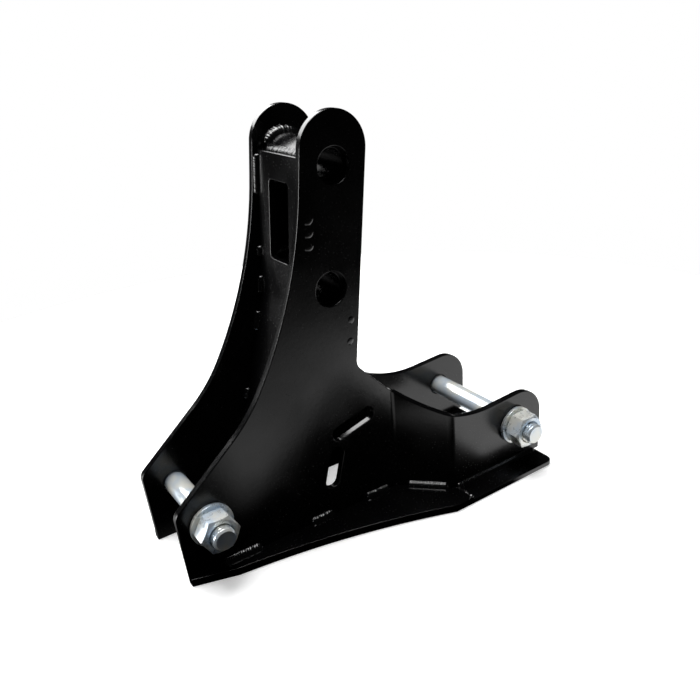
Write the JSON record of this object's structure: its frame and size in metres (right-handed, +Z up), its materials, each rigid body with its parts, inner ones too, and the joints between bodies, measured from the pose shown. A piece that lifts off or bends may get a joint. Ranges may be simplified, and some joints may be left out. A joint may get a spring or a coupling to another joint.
{
  "type": "quick coupler",
  "caption": "Welded quick coupler for a small excavator: two side plates joined by tubes and webs, feet along the ground, and two clamping bolts.",
  "frame": {"origin": "bottom centre of the coupler's bounding box, on the ground the feet rest on", "axes": "+X from the toe to the heel, +Y from the near plate (joggled) to the far plate (flat), +Z up"},
  "size_m": [0.294, 0.137, 0.2855],
  "materials": {
    "black_powder_coat": "gloss",
    "bright_zinc_plate": "satin"
  },
  "bodies": {
    "frame": {"near_side_plate": "black_powder_coat", "far_side_plate": "black_powder_coat", "front_web": "black_powder_coat", "rear_web": "black_powder_coat", "upper_cross_tube": "black_powder_coat", "lower_cross_tube": "black_powder_coat", "near_wing": "black_powder_coat", "far_wing": "black_powder_coat", "near_rear_strip": "black_powder_coat", "far_rear_strip": "black_powder_coat", "upper_tube_near_weld": "black_powder_coat", "lower_tube_near_weld": "black_powder_coat", "front_web_near_weld": "black_powder_coat", "rear_web_near_weld": "black_powder_coat", "near_wing_weld": "black_powder_coat", "near_strip_weld": "black_powder_coat", "near_seam_weld": "black_powder_coat", "upper_tube_far_weld": "black_powder_coat", "lower_tube_far_weld": "black_powder_coat", "front_web_far_weld": "black_powder_coat", "rear_web_far_weld": "black_powder_coat", "far_wing_weld": "black_powder_coat", "far_strip_weld": "black_powder_coat", "far_seam_weld": "black_powder_coat"},
    "toe_bolt": {"toe_bolt": "bright_zinc_plate", "toe_head_washer": "bright_zinc_plate"},
    "toe_nut_washer": {"toe_nut_washer": "bright_zinc_plate"},
    "toe_nut": {"toe_nut": "bright_zinc_plate"},
    "heel_bolt": {"heel_bolt": "bright_zinc_plate", "heel_head_washer": "bright_zinc_plate"},
    "heel_nut_washer": {"heel_nut_washer": "bright_zinc_plate"},
    "heel_nut": {"heel_nut": "bright_zinc_plate"}
  },
  "joints": [
    {"name": "toe_bolt_withdraw", "type": "slide", "parent": "frame", "child": "toe_bolt", "axis": [0, 1, 0], "range_m": [0, 0.09]},
    {"name": "toe_nut_travel", "type": "slide", "parent": "frame", "child": "toe_nut_washer", "axis": [0, -1, 0], "range_m": [0, 0.0191]},
    {"name": "toe_nut_turn", "type": "hinge", "parent": "toe_nut_washer", "child": "toe_nut", "pos_m": [-0.12471, 0.01645, 0.0413], "axis": [0, -1, 0], "range_deg": [0, 3420]},
    {"name": "heel_bolt_withdraw", "type": "slide", "parent": "frame", "child": "heel_bolt", "axis": [0, 1, 0], "range_m": [0, 0.12]},
    {"name": "heel_nut_travel", "type": "slide", "parent": "frame", "child": "heel_nut_washer", "axis": [0, -1, 0], "range_m": [0, 0.0191]},
    {"name": "heel_nut_turn", "type": "hinge", "parent": "heel_nut_washer", "child": "heel_nut", "pos_m": [0.11839, 0.01645, 0.0367], "axis": [0, -1, 0], "range_deg": [0, 3420]}
  ],
  "couplings": [
    {"joint": "toe_nut_travel", "follows": "toe_nut_turn", "m_per_rad": 0.00031831},
    {"joint": "heel_nut_travel", "follows": "heel_nut_turn", "m_per_rad": 0.00031831}
  ]
}
